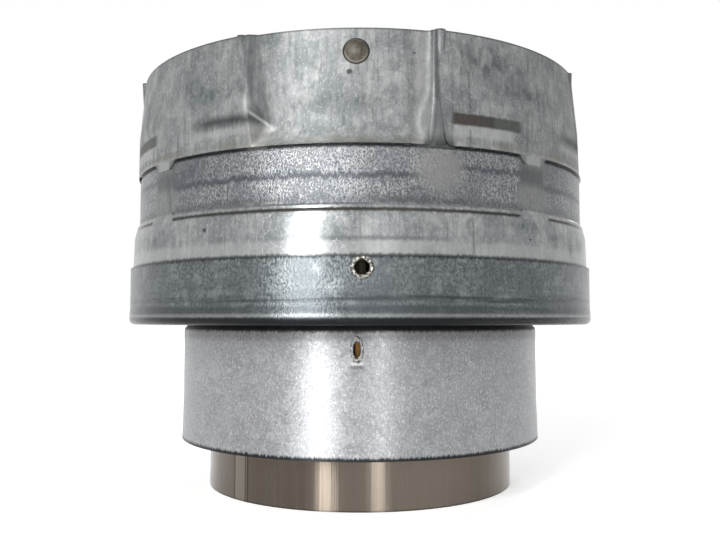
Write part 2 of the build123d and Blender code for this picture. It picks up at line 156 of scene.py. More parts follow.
# Dull grey smudges on the wall: turn, height, half width in degrees and half height
SMUDGES = (
    (54.5, 0.056, 0.7, 0.0026),
    (47.2, 0.0576, 2.5, 0.0014),
    (37.0, 0.0598, 5.0, 0.0011),
    (61.0, 0.0577, 2.5, 0.0012),
    (-51.0, 0.0578, 5.5, 0.0014),
    (-38.0, 0.0878, 3.0, 0.0026),
    (-60.5, 0.0862, 1.4, 0.0028),
    (29.0, 0.0925, 8.0, 0.003),
    (39.0, 0.0878, 7.0, 0.0018),
    (-31.0, 0.0868, 6.0, 0.0014),
)

# Thin dark smear round the front of the plain wall
SMEAR_HEIGHT = 0.0562

# Each finish before its marks: the two tints that its grain runs between
WALL_TINTS = ((0.21, 0.22, 0.22, 1), (0.32, 0.33, 0.33, 1))
GRIP_TINTS = ((0.09, 0.094, 0.1, 1), (0.31, 0.315, 0.32, 1))
GAP_TINTS = ((0.2, 0.205, 0.2, 1), (0.1, 0.11, 0.11, 1))
CAP_TINTS = ((0.08, 0.09, 0.095, 1), (0.2, 0.218, 0.222, 1))
COLLAR_TINTS = ((0.245, 0.25, 0.26, 1), (0.355, 0.36, 0.37, 1))
LINER_TINTS = ((0.105, 0.087, 0.07, 1), (0.175, 0.148, 0.122, 1))
RIVET_TINTS = ((0.055, 0.05, 0.04, 1), (0.11, 0.101, 0.08, 1))
TORN_TINTS = ((0.05, 0.048, 0.04, 1), (0.62, 0.6, 0.55, 1))

# Marks on the plain part of the outer wall: how strong each is, and its tint
WALL_MARKS = {
    "cloud": (0.5, (0.12, 0.135, 0.14, 1)),
    "mottle": (0.35, (0.11, 0.12, 0.125, 1)),
    "pale": (0.35, (0.42, 0.42, 0.41, 1)),
    "hair": (0.5, (0.09, 0.1, 0.1, 1)),
    "specks": (0.35, (0.5, 0.5, 0.49, 1)),
    "clean line": (0.5, (0.34, 0.345, 0.345, 1)),
    "smudge": (0.75, (0.07, 0.082, 0.085, 1)),
    "pit": (0.85, (0.02, 0.02, 0.02, 1)),
    "smear": (0.7, (0.1, 0.105, 0.11, 1)),
    "rim": (0.8, (0.06, 0.06, 0.06, 1)),
    "seam": (0.7, (0.05, 0.055, 0.055, 1)),
    "foot": (0.85, (0.04, 0.042, 0.042, 1)),
}

# Marks on the band that the forming jaws gripped, and on its edges, with painted shadow along both edges and
# a painted highlight above the top one
GRIP_MARKS = {
    "combed": (0.5, (0.08, 0.085, 0.095, 1)),
    "blotch": (0.4, (0.09, 0.1, 0.115, 1)),
    "left step": (0.85, (0.045, 0.05, 0.06, 1)),
    "right step": (0.8, (0.045, 0.05, 0.06, 1)),
    "foot flecks": (0.6, (0.06, 0.065, 0.07, 1)),
    "bruise": (0.75, (0.06, 0.068, 0.078, 1)),
    "worn": (0.7, (0.2, 0.2, 0.195, 1)),
    "gap flecks": (0.5, (0.075, 0.08, 0.085, 1)),
    "gap stain": (0.75, (0.05, 0.062, 0.062, 1)),
    "tab": (0.9, (0.27, 0.28, 0.275, 1)),
    "under ridge": (0.8, (0.045, 0.043, 0.035, 1)),
    # Painted shadow: a dark line at the top of the gripped band
    "nip_shadow": (0.92, (0.02, 0.022, 0.024, 1)),
    "lip": (0.5, (0.17, 0.165, 0.13, 1)),
    # Painted highlight: a thin pale line above the lip
    "lip highlight": (0.3, (0.42, 0.42, 0.38, 1)),
}

# Marks of the stamped lock, most of them painted light and shade: grooves and scoops, the folds beside the
# recesses, and the notches
LOCK_MARKS = {
    # Painted shade in the grooves, on their upper slopes that face down
    "groove end shade": (0.9, (0.045, 0.035, 0.032, 1)),
    "groove run shade": (0.85, (0.05, 0.055, 0.045, 1)),
    # Painted light on the lower slope below each groove, which faces up
    "flank": (0.5, (0.42, 0.42, 0.42, 1)),
    # Painted shade in the scoops
    "scoop": (0.92, (0.035, 0.04, 0.04, 1)),
    # Painted light on the lower lip of each scoop, which faces up
    "lit scoop lip": (0.35, (0.46, 0.46, 0.44, 1)),
    # Painted light, lightening the shade that falls on the foot of the fold
    "lit fold foot": (0.5, (0.32, 0.32, 0.3, 1)),
    # Painted shade on the slope of the fold, which faces away from the light
    "fold": (0.58, (0.085, 0.093, 0.093, 1)),
    "glint": (0.5, (0.62, 0.62, 0.61, 1)),
    # Painted highlight: a thin bright line across the fold
    "crease_highlight": (0.45, (0.6, 0.6, 0.59, 1)),
    # Painted highlight low beside the recess
    "corner_highlight": (0.6, (0.6, 0.6, 0.59, 1)),
    # Painted light on the strip that faces out towards the light
    "lit right strip": (0.4, (0.42, 0.42, 0.41, 1)),
    # Painted shade: a dark line on the side of the ridge away from the light
    "ridge_shade": (0.75, (0.06, 0.065, 0.065, 1)),
    # Painted shade in the notch, deepest at its foot
    "valley": (0.6, (0.14, 0.15, 0.15, 1)),
    "valley foot": (0.9, (0.025, 0.03, 0.03, 1)),
}

# Marks on the base cap, among them a band of painted shade, a painted highlight just above the rolled foot,
# and painted shade on that foot
CAP_MARKS = {
    "wide": (0.45, (0.07, 0.08, 0.085, 1)),
    "pale": (0.35, (0.3, 0.32, 0.32, 1)),
    "combed": (0.45, (0.055, 0.062, 0.07, 1)),
    "drawn": (0.45, (0.075, 0.085, 0.092, 1)),
    "line": (0.75, (0.035, 0.04, 0.045, 1)),
    "shade": (0.6, (0.04, 0.045, 0.05, 1)),
    # Painted highlight: a bright line just above the rolled foot
    "bead": (0.4, (0.3, 0.31, 0.31, 1)),
    # Painted shade on the rolled foot, where it turns under
    "roll": (0.95, (0.012, 0.013, 0.015, 1)),
    "top edge": (0.85, (0.025, 0.028, 0.03, 1)),
}

# Marks on the stove collar, among them painted shadow under the cap, and painted shade and a painted
# highlight below each lanced slot
COLLAR_MARKS = {
    "wide": (0.3, (0.2, 0.205, 0.215, 1)),
    "pale grain": (0.5, (0.62, 0.62, 0.63, 1)),
    "dark grain": (0.45, (0.14, 0.145, 0.15, 1)),
    # Painted shadow on the top of the collar, under the cap
    "top": (0.92, (0.02, 0.02, 0.02, 1)),
    # Painted shade: a darker band below that shadow, on the shoulder under the cap
    "neck": (0.45, (0.1, 0.1, 0.1, 1)),
    "foot": (0.97, (0.008, 0.009, 0.01, 1)),
    # Painted shade below the tongue of each lanced slot
    "dimple_shade": (0.6, (0.07, 0.07, 0.075, 1)),
    # Painted highlight: a bright line between that shade and the tongue
    "pushed": (0.6, (0.75, 0.75, 0.75, 1)),
}

# Marks on the flue liner
LINER_MARKS = {
    "fine": (0.1, (0.36, 0.33, 0.3, 1)),
    "weld": (0.35, (0.36, 0.32, 0.28, 1)),
    "weld edge": (0.75, (0.04, 0.025, 0.02, 1)),
    "foot": (0.7, (0.04, 0.035, 0.03, 1)),
    "scorch": (0.9, (0.3, 0.16, 0.05, 1)),
}

# Marks on the rivets, among them a painted highlight on the lower rim and painted shade round the head
RIVET_MARKS = {
    "ring": (0.45, (0.05, 0.043, 0.034, 1)),
    # Painted highlight on the lower half of the head's rim
    "lit rim": (0.5, (0.36, 0.34, 0.29, 1)),
    "rim shade": (0.9, (0.02, 0.018, 0.016, 1)),
}


def node(tree, kind, inputs=None, **settings):
    """Add a shader node, set its properties, and fill or link its inputs."""
    made = tree.nodes.new(kind)
    for name, value in settings.items():
        setattr(made, name, value)
    for name, value in (inputs or {}).items():
        if isinstance(value, bpy.types.NodeSocket):
            tree.links.new(value, made.inputs[name])
        else:
            made.inputs[name].default_value = value
    return made


def maths(tree, operation, *values):
    """Result of a Math node."""
    return node(tree, "ShaderNodeMath", dict(enumerate(values)), operation=operation).outputs[0]


def vector_maths(tree, operation, first, second):
    """Result of a Vector Math node."""
    return node(tree, "ShaderNodeVectorMath", {0: first, 1: second}, operation=operation).outputs[0]


def meet(tree, value, *masks):
    """A value times each of the masks: it stays only where all of them meet."""
    for mask in masks:
        value = maths(tree, "MULTIPLY", value, mask)
    return value


def inverse(tree, mask):
    """Mask of everywhere that another mask leaves out."""
    return maths(tree, "SUBTRACT", 1.0, mask)


def distance(tree, across, up):
    """Length of a step across and up."""
    squares = maths(tree, "ADD", maths(tree, "POWER", across, 2.0), maths(tree, "POWER", up, 2.0))
    return maths(tree, "SQRT", squares)


def spread(tree, value, low, high, out_low=0.0, out_high=1.0):
    """A value stretched from one range to another, held at its ends."""
    inputs = {"Value": value, "From Min": low, "From Max": high, "To Min": out_low, "To Max": out_high}
    return node(tree, "ShaderNodeMapRange", inputs, interpolation_type="SMOOTHSTEP").outputs[0]


def between(tree, mask, low, high):
    """A mask made into a value between low, where it is empty, and high, where it is full."""
    return spread(tree, mask, 0.0, 1.0, low, high)


def near(tree, far, half, soft):
    """Mask of what is nearer than a half width, with a soft edge."""
    inner = maths(tree, "SUBTRACT", half, soft)
    outer = maths(tree, "ADD", half, soft)
    return inverse(tree, spread(tree, far, inner, outer))


def blend(tree, share, first, second):
    """Mix of two colours."""
    made = node(tree, "ShaderNodeMix", data_type="RGBA")
    for socket, value in zip((made.inputs[0], made.inputs[6], made.inputs[7]), (share, first, second)):
        if isinstance(value, bpy.types.NodeSocket):
            tree.links.new(value, socket)
        else:
            socket.default_value = value
    return made.outputs[2]


def ramp(tree, value, tints, start=0.0, end=1.0):
    """Colour that runs between two tints while a value goes from start to end."""
    made = node(tree, "ShaderNodeValToRGB", {"Fac": value})
    for stop, place, tint in zip(made.color_ramp.elements, (start, end), tints):
        stop.position = place
        stop.color = tint
    return made.outputs["Color"]


def mark(tree, colour, look, *masks):
    """Colour with a mark laid over it where all the masks meet. Its look is a strength and a tint."""
    strength, tint = look
    return blend(tree, meet(tree, strength, *masks), colour, tint)


def object_point(tree):
    """Point of the piece, in its own coordinates."""
    return node(tree, "ShaderNodeTexCoord").outputs["Object"]


def stretched_point(tree, across, rise):
    """Point of the piece with one scale round the adapter and another up it."""
    scales = node(tree, "ShaderNodeCombineXYZ", {0: across, 1: across, 2: rise}).outputs[0]
    return vector_maths(tree, "MULTIPLY", object_point(tree), scales)


def group(name, inputs, outputs):
    """New shader group, from the names and starting values of its inputs and the names of its outputs."""
    tree = bpy.data.node_groups.new(name, "ShaderNodeTree")
    for label, value in inputs.items():
        socket = tree.interface.new_socket(label, in_out="INPUT", socket_type="NodeSocketFloat")
        socket.default_value = value
    for label in outputs:
        tree.interface.new_socket(label, in_out="OUTPUT", socket_type="NodeSocketFloat")
    return tree, tree.nodes.new("NodeGroupInput").outputs


def use(tree, shared, inputs=None):
    """Outputs of a shared group placed in another tree with values of its own."""
    return node(tree, "ShaderNodeGroup", inputs, node_tree=shared).outputs


def place_group():
    """Where a point lies on the adapter: azimuth from the front, height, and distance from the axis."""
    tree, _ = group("sheet place", {}, ("Azimuth", "Height", "Reach"))
    axes = node(tree, "ShaderNodeSeparateXYZ", {"Vector": object_point(tree)}).outputs
    back = maths(tree, "MULTIPLY", axes["Y"], -1.0)
    turn = maths(tree, "DEGREES", maths(tree, "ARCTAN2", axes["X"], back))
    reach = distance(tree, axes["X"], back)
    node(tree, "NodeGroupOutput", {"Azimuth": turn, "Height": axes["Z"], "Reach": reach})
    return tree


def spangle_group():
    """Zinc crystals: flat grains of slightly different brightness, large ones with finer ones among them."""
    warp_scale, warp_reach = 260.0, 0.004
    finer_by, large_share, small_share = 2.7, 0.6, 0.4
    tree, given = group("zinc spangle", {"Grain": 300.0, "Contrast": 0.5}, ("Shade", "Height"))
    point = object_point(tree)
    warp = node(tree, "ShaderNodeTexNoise", {"Vector": point, "Scale": warp_scale, "Detail": 2.0})
    pushed = vector_maths(tree, "MULTIPLY", warp.outputs["Color"], (warp_reach,) * 3)
    bent = vector_maths(tree, "ADD", point, pushed)
    large = node(tree, "ShaderNodeTexVoronoi", {"Vector": bent, "Scale": given["Grain"]})
    finer = maths(tree, "MULTIPLY", given["Grain"], finer_by)
    small = node(tree, "ShaderNodeTexVoronoi", {"Vector": bent, "Scale": finer})
    first = node(tree, "ShaderNodeSeparateColor", {"Color": large.outputs["Color"]}).outputs[0]
    second = node(tree, "ShaderNodeSeparateColor", {"Color": small.outputs["Color"]}).outputs[1]
    first_part = maths(tree, "MULTIPLY", first, large_share)
    both = maths(tree, "ADD", first_part, maths(tree, "MULTIPLY", second, small_share))
    swing = maths(tree, "MULTIPLY", maths(tree, "SUBTRACT", both, 0.5), given["Contrast"])
    node(tree, "NodeGroupOutput", {"Shade": maths(tree, "ADD", swing, 0.5), "Height": both})
    return tree


def streak_group():
    """Soft marks from stretched noise: up the wall where Rise is small, round it where Rise is large."""
    inputs = {"Across": 400.0, "Rise": 20.0, "Low": 0.4, "High": 0.6, "Shift": 0.0}
    tree, given = group("sheet streaks", inputs, ("Mask",))
    scaled = stretched_point(tree, given["Across"], given["Rise"])
    moved = node(tree, "ShaderNodeCombineXYZ", {0: given["Shift"], 1: 0.0, 2: given["Shift"]}).outputs[0]
    place = vector_maths(tree, "ADD", scaled, moved)
    pattern = {"Vector": place, "Scale": 1.0, "Detail": 4.0, "Roughness": 0.6}
    grain = node(tree, "ShaderNodeTexNoise", pattern).outputs[0]
    node(tree, "NodeGroupOutput", {"Mask": spread(tree, grain, given["Low"], given["High"])})
    return tree


def patch_group():
    """Mask of one place on the adapter: an ellipse with a soft edge."""
    inputs = {"Azimuth": 0.0, "Height": 0.05, "Half turn": 5.0, "Half height": 0.005, "Softness": 0.5}
    tree, given = group("marked place", inputs, ("Mask",))
    here = use(tree, PLACE)
    aside = maths(tree, "SUBTRACT", here["Azimuth"], given["Azimuth"])
    above = maths(tree, "SUBTRACT", here["Height"], given["Height"])
    across = maths(tree, "DIVIDE", aside, given["Half turn"])
    up = maths(tree, "DIVIDE", above, given["Half height"])
    mask = near(tree, distance(tree, across, up), 1.0, given["Softness"])
    node(tree, "NodeGroupOutput", {"Mask": mask})
    return tree


def ragged_group():
    """Mask of a level band round the adapter, its edges broken by upright flecks."""
    fleck_rise = 150.0
    inputs = {"Middle": 0.05, "Half height": 0.001, "Soft edge": 0.0003, "Ragged": 0.001, "Fleck": 1500.0}
    tree, given = group("ragged band", inputs, ("Mask",))
    scaled = stretched_point(tree, given["Fleck"], fleck_rise)
    fleck = node(tree, "ShaderNodeTexNoise", {"Vector": scaled, "Scale": 1.0, "Detail": 3.0}).outputs[0]
    jump = maths(tree, "MULTIPLY", maths(tree, "SUBTRACT", fleck, 0.5), given["Ragged"])
    level = maths(tree, "ADD", use(tree, PLACE)["Height"], jump)
    far = maths(tree, "ABSOLUTE", maths(tree, "SUBTRACT", level, given["Middle"]))
    mask = near(tree, far, given["Half height"], given["Soft edge"])
    node(tree, "NodeGroupOutput", {"Mask": mask})
    return tree


def sector_group():
    """Mask of a sector that repeats round the adapter, and the turn within one repeat."""
    inputs = {"Turn": 0.0, "Pitch": LOCK_PITCH, "Left": -5.0, "Right": 5.0, "Soft edge": 1.0}
    tree, given = group("repeated sector", inputs, ("Mask", "Within"))
    half = maths(tree, "MULTIPLY", given["Pitch"], 0.5)
    turned = maths(tree, "SUBTRACT", use(tree, PLACE)["Azimuth"], given["Turn"])
    wrapped = maths(tree, "FLOORED_MODULO", maths(tree, "ADD", turned, half), given["Pitch"])
    within = maths(tree, "SUBTRACT", wrapped, half)
    middle = maths(tree, "MULTIPLY", maths(tree, "ADD", given["Left"], given["Right"]), 0.5)
    reach = maths(tree, "MULTIPLY", maths(tree, "SUBTRACT", given["Right"], given["Left"]), 0.5)
    far = maths(tree, "ABSOLUTE", maths(tree, "SUBTRACT", within, middle))
    mask = near(tree, far, reach, given["Soft edge"])
    node(tree, "NodeGroupOutput", {"Mask": mask, "Within": within})
    return tree


PLACE = place_group()
SPANGLE = spangle_group()
STREAKS = streak_group()
PATCH = patch_group()
RAGGED = ragged_group()
SECTOR = sector_group()


def streaks(tree, across, rise, low, high, shift=0.0):
    """Mask from the shared streak group."""
    inputs = {"Across": across, "Rise": rise, "Low": low, "High": high, "Shift": shift}
    return use(tree, STREAKS, inputs)[0]


def band(tree, middle, half, soft, ragged, fleck=1500.0):
    """Mask from the shared ragged band group."""
    inputs = {"Middle": middle, "Half height": half, "Soft edge": soft, "Ragged": ragged, "Fleck": fleck}
    return use(tree, RAGGED, inputs)[0]


def sector(tree, left, right, soft, pitch=LOCK_PITCH, turn=LOCK_TURN):
    """Mask from the shared repeated sector group."""
    inputs = {"Turn": turn, "Pitch": pitch, "Left": left, "Right": right, "Soft edge": soft}
    return use(tree, SECTOR, inputs)[0]


def patch(tree, turn, height, half_turn, half_height, soft):
    """Mask from the shared marked place group."""
    size = {"Half turn": half_turn, "Half height": half_height}
    return use(tree, PATCH, {"Azimuth": turn, "Height": height, **size, "Softness": soft})[0]


def rougher(tree, roughness, mask, amount):
    """Roughness raised by an amount inside a mask."""
    return maths(tree, "ADD", roughness, maths(tree, "MULTIPLY", mask, amount))


def start_material(name):
    """New material with its tree cleared: the material and its tree."""
    made = bpy.data.materials.new(name)
    made.use_nodes = True
    made.node_tree.nodes.clear()
    return made, made.node_tree


def close_material(tree, colour, roughness, height, bump, metallic, drawn=0.0):
    """Shader of a bare metal sheet, its shine stretched up the sheet where it was drawn round the axis."""
    bumped = node(tree, "ShaderNodeBump", {"Height": height, "Strength": bump, "Distance": GRAIN_DEPTH})
    inputs = {
        "Base Color": colour,
        "Roughness": roughness,
        "Metallic": metallic,
        "Anisotropic": drawn,
        "Anisotropic Rotation": SHINE_ROTATION,
        "Normal": bumped.outputs[0],
        "Tangent": node(tree, "ShaderNodeTangent", direction_type="RADIAL", axis="Z").outputs[0],
    }
    shader = node(tree, "ShaderNodeBsdfPrincipled", inputs)
    node(tree, "ShaderNodeOutputMaterial", {"Surface": shader.outputs[0]})


def wall_grains(tree):
    """Grains and stains that several parts of the wall's finish share."""
    return {
        "hair": streaks(tree, across=1500.0, rise=110.0, low=0.42, high=0.72, shift=3.0),
        "cloud": streaks(tree, across=120.0, rise=110.0, low=0.42, high=0.62, shift=5.0),
        "mottle": streaks(tree, across=520.0, rise=330.0, low=0.42, high=0.64, shift=6.0),
        "pale": streaks(tree, across=430.0, rise=240.0, low=0.5, high=0.68, shift=2.0),
        "flecks": streaks(tree, across=2900.0, rise=2100.0, low=0.38, high=0.64, shift=8.0),
    }


def plain_zinc(tree, shade, grains):
    """Colour of the plain sheet: spangle, stains, a cleaner line above the cap, smudges and pits."""
    colour = ramp(tree, shade, WALL_TINTS, start=0.2, end=0.8)
    for name in ("cloud", "mottle", "pale", "hair"):
        colour = mark(tree, colour, WALL_MARKS[name], grains[name])
    specks = streaks(tree, across=2400.0, rise=1700.0, low=0.52, high=0.68)
    colour = mark(tree, colour, WALL_MARKS["specks"], specks)
    clean = band(tree, middle=0.0543, half=0.0014, soft=0.0006, ragged=0.0005)
    colour = mark(tree, colour, WALL_MARKS["clean line"], clean)
    patchy = between(tree, grains["mottle"], 0.35, 1.0)
    for turn, height, half_turn, half_height in SMUDGES:
        smudge = patch(tree, turn, height, half_turn, half_height, soft=0.9)
        colour = mark(tree, colour, WALL_MARKS["smudge"], smudge, patchy)
    for turn, height, half in PITS:
        pit = patch(tree, turn, height, half, half * PIT_RISE, soft=0.4)
        colour = mark(tree, colour, WALL_MARKS["pit"], pit)
    smear = band(tree, middle=SMEAR_HEIGHT, half=0.0004, soft=0.0004, ragged=0.0006)
    front = patch(tree, turn=2.0, height=SMEAR_HEIGHT, half_turn=13.0, half_height=0.003, soft=0.5)
    return mark(tree, colour, WALL_MARKS["smear"], smear, front)


def gripped_zinc(tree, grains):
    """Colour where the forming jaws gripped: rough flecks, two dark steps, a bruise and a worn place."""
    combed = streaks(tree, across=1900.0, rise=420.0, low=0.45, high=0.68, shift=11.0)
    blotch = streaks(tree, across=170.0, rise=190.0, low=0.45, high=0.62, shift=9.0)
    colour = ramp(tree, grains["flecks"], GRIP_TINTS)
    colour = mark(tree, colour, GRIP_MARKS["combed"], combed)
    colour = mark(tree, colour, GRIP_MARKS["blotch"], blotch)
    left_step = band(tree, middle=0.0686, half=0.0006, soft=0.0005, ragged=0.0026)
    colour = mark(tree, colour, GRIP_MARKS["left step"], left_step, sector(tree, -44.0, 16.0, soft=4.0))
    right_step = band(tree, middle=0.0707, half=0.0005, soft=0.0005, ragged=0.0028)
    colour = mark(tree, colour, GRIP_MARKS["right step"], right_step, sector(tree, 24.0, 44.0, soft=3.0))
    foot_flecks = band(tree, middle=0.0637, half=0.0008, soft=0.0008, ragged=0.003)
    colour = mark(tree, colour, GRIP_MARKS["foot flecks"], foot_flecks)
    patchy = between(tree, blotch, 0.6, 1.0)
    high = band(tree, middle=0.0717, half=0.003, soft=0.0015, ragged=0.002)
    left_end = sector(tree, -43.5, -29.0, soft=4.0)
    colour = mark(tree, colour, GRIP_MARKS["bruise"], patchy, high, left_end)
    worn = patch(tree, turn=16.5, height=0.0705, half_turn=5.0, half_height=0.005, soft=0.4)
    return mark(tree, colour, GRIP_MARKS["worn"], worn)


def gap_zinc(tree, grains):
    """Colour of the ungripped sheet in the gap between two forming jaws."""
    colour = ramp(tree, grains["hair"], GAP_TINTS)
    colour = mark(tree, colour, GRIP_MARKS["gap flecks"], grains["flecks"])
    stain = band(tree, middle=0.0705, half=0.0019, soft=0.0012, ragged=0.001)
    return mark(tree, colour, GRIP_MARKS["gap stain"], stain)


def grip_edge_marks(tree, colour, grains, gap):
    """Colour with painted shadow under the gripped band's foot ridge, a line of painted shadow at its top,
    and the lip above it with a thin painted highlight.
    """
    under_ridge = band(tree, middle=GRIP_FOOT - 0.0004, half=0.0004, soft=0.0003, ragged=0.0008)
    colour = mark(tree, colour, GRIP_MARKS["under ridge"], under_ridge, sector(tree, -40.5, 39.5, soft=0.5))
    # Painted shadow at the top of the gripped band
    nip_shadow = band(tree, middle=GRIP_TOP - 0.0003, half=0.0003, soft=0.0002, ragged=0.0006)
    colour = mark(tree, colour, GRIP_MARKS["nip_shadow"], nip_shadow, inverse(tree, gap))
    lip = band(tree, middle=GRIP_TOP + 0.0009, half=0.0007, soft=0.0006, ragged=0.0006)
    colour = mark(tree, colour, GRIP_MARKS["lip"], lip, between(tree, grains["cloud"], 0.4, 1.0))
    # Painted highlight: a thin pale line above the lip, broken by the pale grain
    lip_highlight = band(tree, middle=GRIP_TOP + 0.0021, half=0.0003, soft=0.0003, ragged=0.0006)
    return mark(tree, colour, GRIP_MARKS["lip highlight"], lip_highlight, grains["pale"])


def groove_marks(tree, colour):
    """Colour with painted shade in the locking grooves and in the scoops at the feet of the recesses, and
    painted light on the lower slopes below them.
    """
    # Painted shade in the grooves, where the upper slope faces down
    groove = band(tree, middle=0.0803, half=0.0012, soft=0.0003, ragged=0.0004)
    colour = mark(tree, colour, LOCK_MARKS["groove end shade"], groove, sector(tree, 23.0, 33.0, soft=0.6))
    colour = mark(tree, colour, LOCK_MARKS["groove run shade"], groove, sector(tree, 32.0, 40.5, soft=1.0))
    # Painted light on the lower slope below each groove, which faces up
    flank = band(tree, middle=0.078, half=0.0011, soft=0.0004, ragged=0.0003)
    colour = mark(tree, colour, LOCK_MARKS["flank"], flank, sector(tree, 23.5, 38.0, soft=1.0))
    # Painted shade in the scoops at the feet of the recesses
    scoop = band(tree, middle=0.0808, half=0.0009, soft=0.0011, ragged=0.0008)
    colour = mark(tree, colour, LOCK_MARKS["scoop"], scoop, sector(tree, -33.0, -17.0, soft=5.0))
    # Painted light on the lower lip of each scoop, which faces up
    lit_scoop_lip = band(tree, middle=0.0783, half=0.0007, soft=0.0006, ragged=0.0006)
    return mark(tree, colour, LOCK_MARKS["lit scoop lip"], lit_scoop_lip, sector(tree, -34.0, -17.5, soft=4.0))


def fold_masks(tree):
    """Masks of the left fold's height, of its foot, and of all the dull metal beside the recesses."""
    left_height = band(tree, middle=0.0895, half=0.0095, soft=0.0012, ragged=0.001)
    left = meet(tree, left_height, sector(tree, -24.0, -15.0, soft=0.9))
    foot_height = band(tree, middle=0.0772, half=0.0027, soft=0.0006, ragged=0.0003)
    foot = meet(tree, foot_height, sector(tree, -20.0, -15.5, soft=0.8))
    right_height = band(tree, middle=0.086, half=0.012, soft=0.001, ragged=0.0005)
    right = meet(tree, right_height, sector(tree, 13.5, 18.5, soft=0.8))
    dull = maths(tree, "MAXIMUM", left, maths(tree, "MAXIMUM", foot, right))
    return left_height, foot, dull


def fold_marks(tree, colour, height, beside, fold_height, fold_foot):
    """Colour with the fold left of each recess: painted light on its foot, a leaning strip of painted shade
    on its dull metal, a painted glint, a thin painted highlight across it, and a painted highlight low beside
    the recess.
    """
    # Painted light on the foot of the fold, lightening the shade that falls there
    colour = mark(tree, colour, LOCK_MARKS["lit fold foot"], fold_foot)
    # A leaning strip of painted shade on the fold's slope, which faces away from the light
    rise = maths(tree, "MULTIPLY", maths(tree, "SUBTRACT", height, FOLD_FOOT), FOLD_LEAN)
    lean = maths(tree, "POWER", maths(tree, "MAXIMUM", rise, 0.0), 2.0)
    off_strip = maths(tree, "ADD", maths(tree, "ADD", beside["Within"], lean), FOLD_TURN)
    strip = spread(tree, maths(tree, "ABSOLUTE", off_strip), 1.3, 2.2, 1.0, 0.0)
    colour = mark(tree, colour, LOCK_MARKS["fold"], strip, fold_height)
    glint = band(tree, middle=0.0838, half=0.0018, soft=0.0018, ragged=0.0006)
    colour = mark(tree, colour, LOCK_MARKS["glint"], glint, sector(tree, -20.9, -19.7, soft=1.0))
    # A thin bright line of painted highlight across the fold, falling towards the recess
    fall = maths(tree, "MULTIPLY", maths(tree, "ADD", beside["Within"], CREASE_TURN), CREASE_FALL)
    off_crease = maths(tree, "ADD", maths(tree, "SUBTRACT", height, CREASE_HEIGHT), fall)
    crease_highlight = spread(tree, maths(tree, "ABSOLUTE", off_crease), 0.0001, 0.0006, 1.0, 0.0)
    colour = mark(tree, colour, LOCK_MARKS["crease_highlight"], crease_highlight, beside["Mask"])
    # Painted highlight low beside the recess
    corner_height = band(tree, middle=0.0786, half=0.0006, soft=0.0006, ragged=0.0006)
    corner_highlight = meet(tree, sector(tree, -16.2, -14.2, soft=0.9), corner_height)
    return mark(tree, colour, LOCK_MARKS["corner_highlight"], corner_highlight)


def notch_marks(tree, colour, height, within, mottle):
    """Colour with painted light on the pale strip, a dark line of painted shade beside the ridge, and painted
    shade in the tapering notch right of each recess.
    """
    # Painted light on the strip right of the recess
    strip = band(tree, middle=0.0865, half=0.0118, soft=0.001, ragged=0.001)
    colour = mark(tree, colour, LOCK_MARKS["lit right strip"], strip, sector(tree, 15.6, 18.6, soft=0.6))
    # A dark line of painted shade beside the ridge
    ridge_shade = band(tree, middle=0.091, half=0.0075, soft=0.001, ragged=0.001)
    colour = mark(tree, colour, LOCK_MARKS["ridge_shade"], ridge_shade, sector(tree, 19.2, 20.4, soft=0.4))
    # Painted shade in the notch, patchy and near black at its foot
    off = maths(tree, "ABSOLUTE", maths(tree, "SUBTRACT", within, NOTCH_TURN))
    half = maths(tree, "MULTIPLY", maths(tree, "SUBTRACT", NOTCH_TIP, height), NOTCH_SPLAY)
    valley = inverse(tree, spread(tree, maths(tree, "SUBTRACT", off, half), -0.9, 0.3))
    above_grip = spread(tree, height, GRIP_TOP - 0.0005, GRIP_TOP + 0.0002)
    colour = mark(tree, colour, LOCK_MARKS["valley"], valley, above_grip)
    foot = spread(tree, height, GRIP_TOP, GRIP_TOP + 0.003, 1.0, 0.0)
    patchy = between(tree, mottle, 0.6, 1.0)
    return mark(tree, colour, LOCK_MARKS["valley foot"], valley, above_grip, foot, patchy)


def wall_edge_marks(tree, colour, gripped):
    """Colour with the cut rim, the weld seam and the joint with the cap."""
    rim = band(tree, middle=RIM, half=0.0003, soft=0.0002, ragged=0.0002)
    colour = mark(tree, colour, WALL_MARKS["rim"], rim)
    seam = sector(tree, -0.18, 0.18, soft=0.35, pitch=WHOLE_TURN, turn=SEAM_TURN)
    broken = streaks(tree, across=10.0, rise=300.0, low=0.42, high=0.56, shift=2.0)
    colour = mark(tree, colour, WALL_MARKS["seam"], seam, inverse(tree, gripped), broken)
    foot = band(tree, middle=CAP_TOP, half=0.0004, soft=0.0003, ragged=0.0009)
    return mark(tree, colour, WALL_MARKS["foot"], foot)


def wall_roughness(tree, height, gripped, dull):
    """Roughness of the wall: smoothest below the lock, rougher where it was gripped, folded or rubbed."""
    upper = spread(tree, height, GRIP_TOP, GRIP_TOP + 0.001)
    roughness = between(tree, upper, 0.31, 0.6)
    roughness = rougher(tree, roughness, gripped, 0.08)
    roughness = rougher(tree, roughness, dull, 0.25)
    rubbed = patch(tree, RUBBED_TURN, 0.0575, RUBBED_HALF, half_height=0.012, soft=0.6)
    return rougher(tree, roughness, rubbed, 0.22)


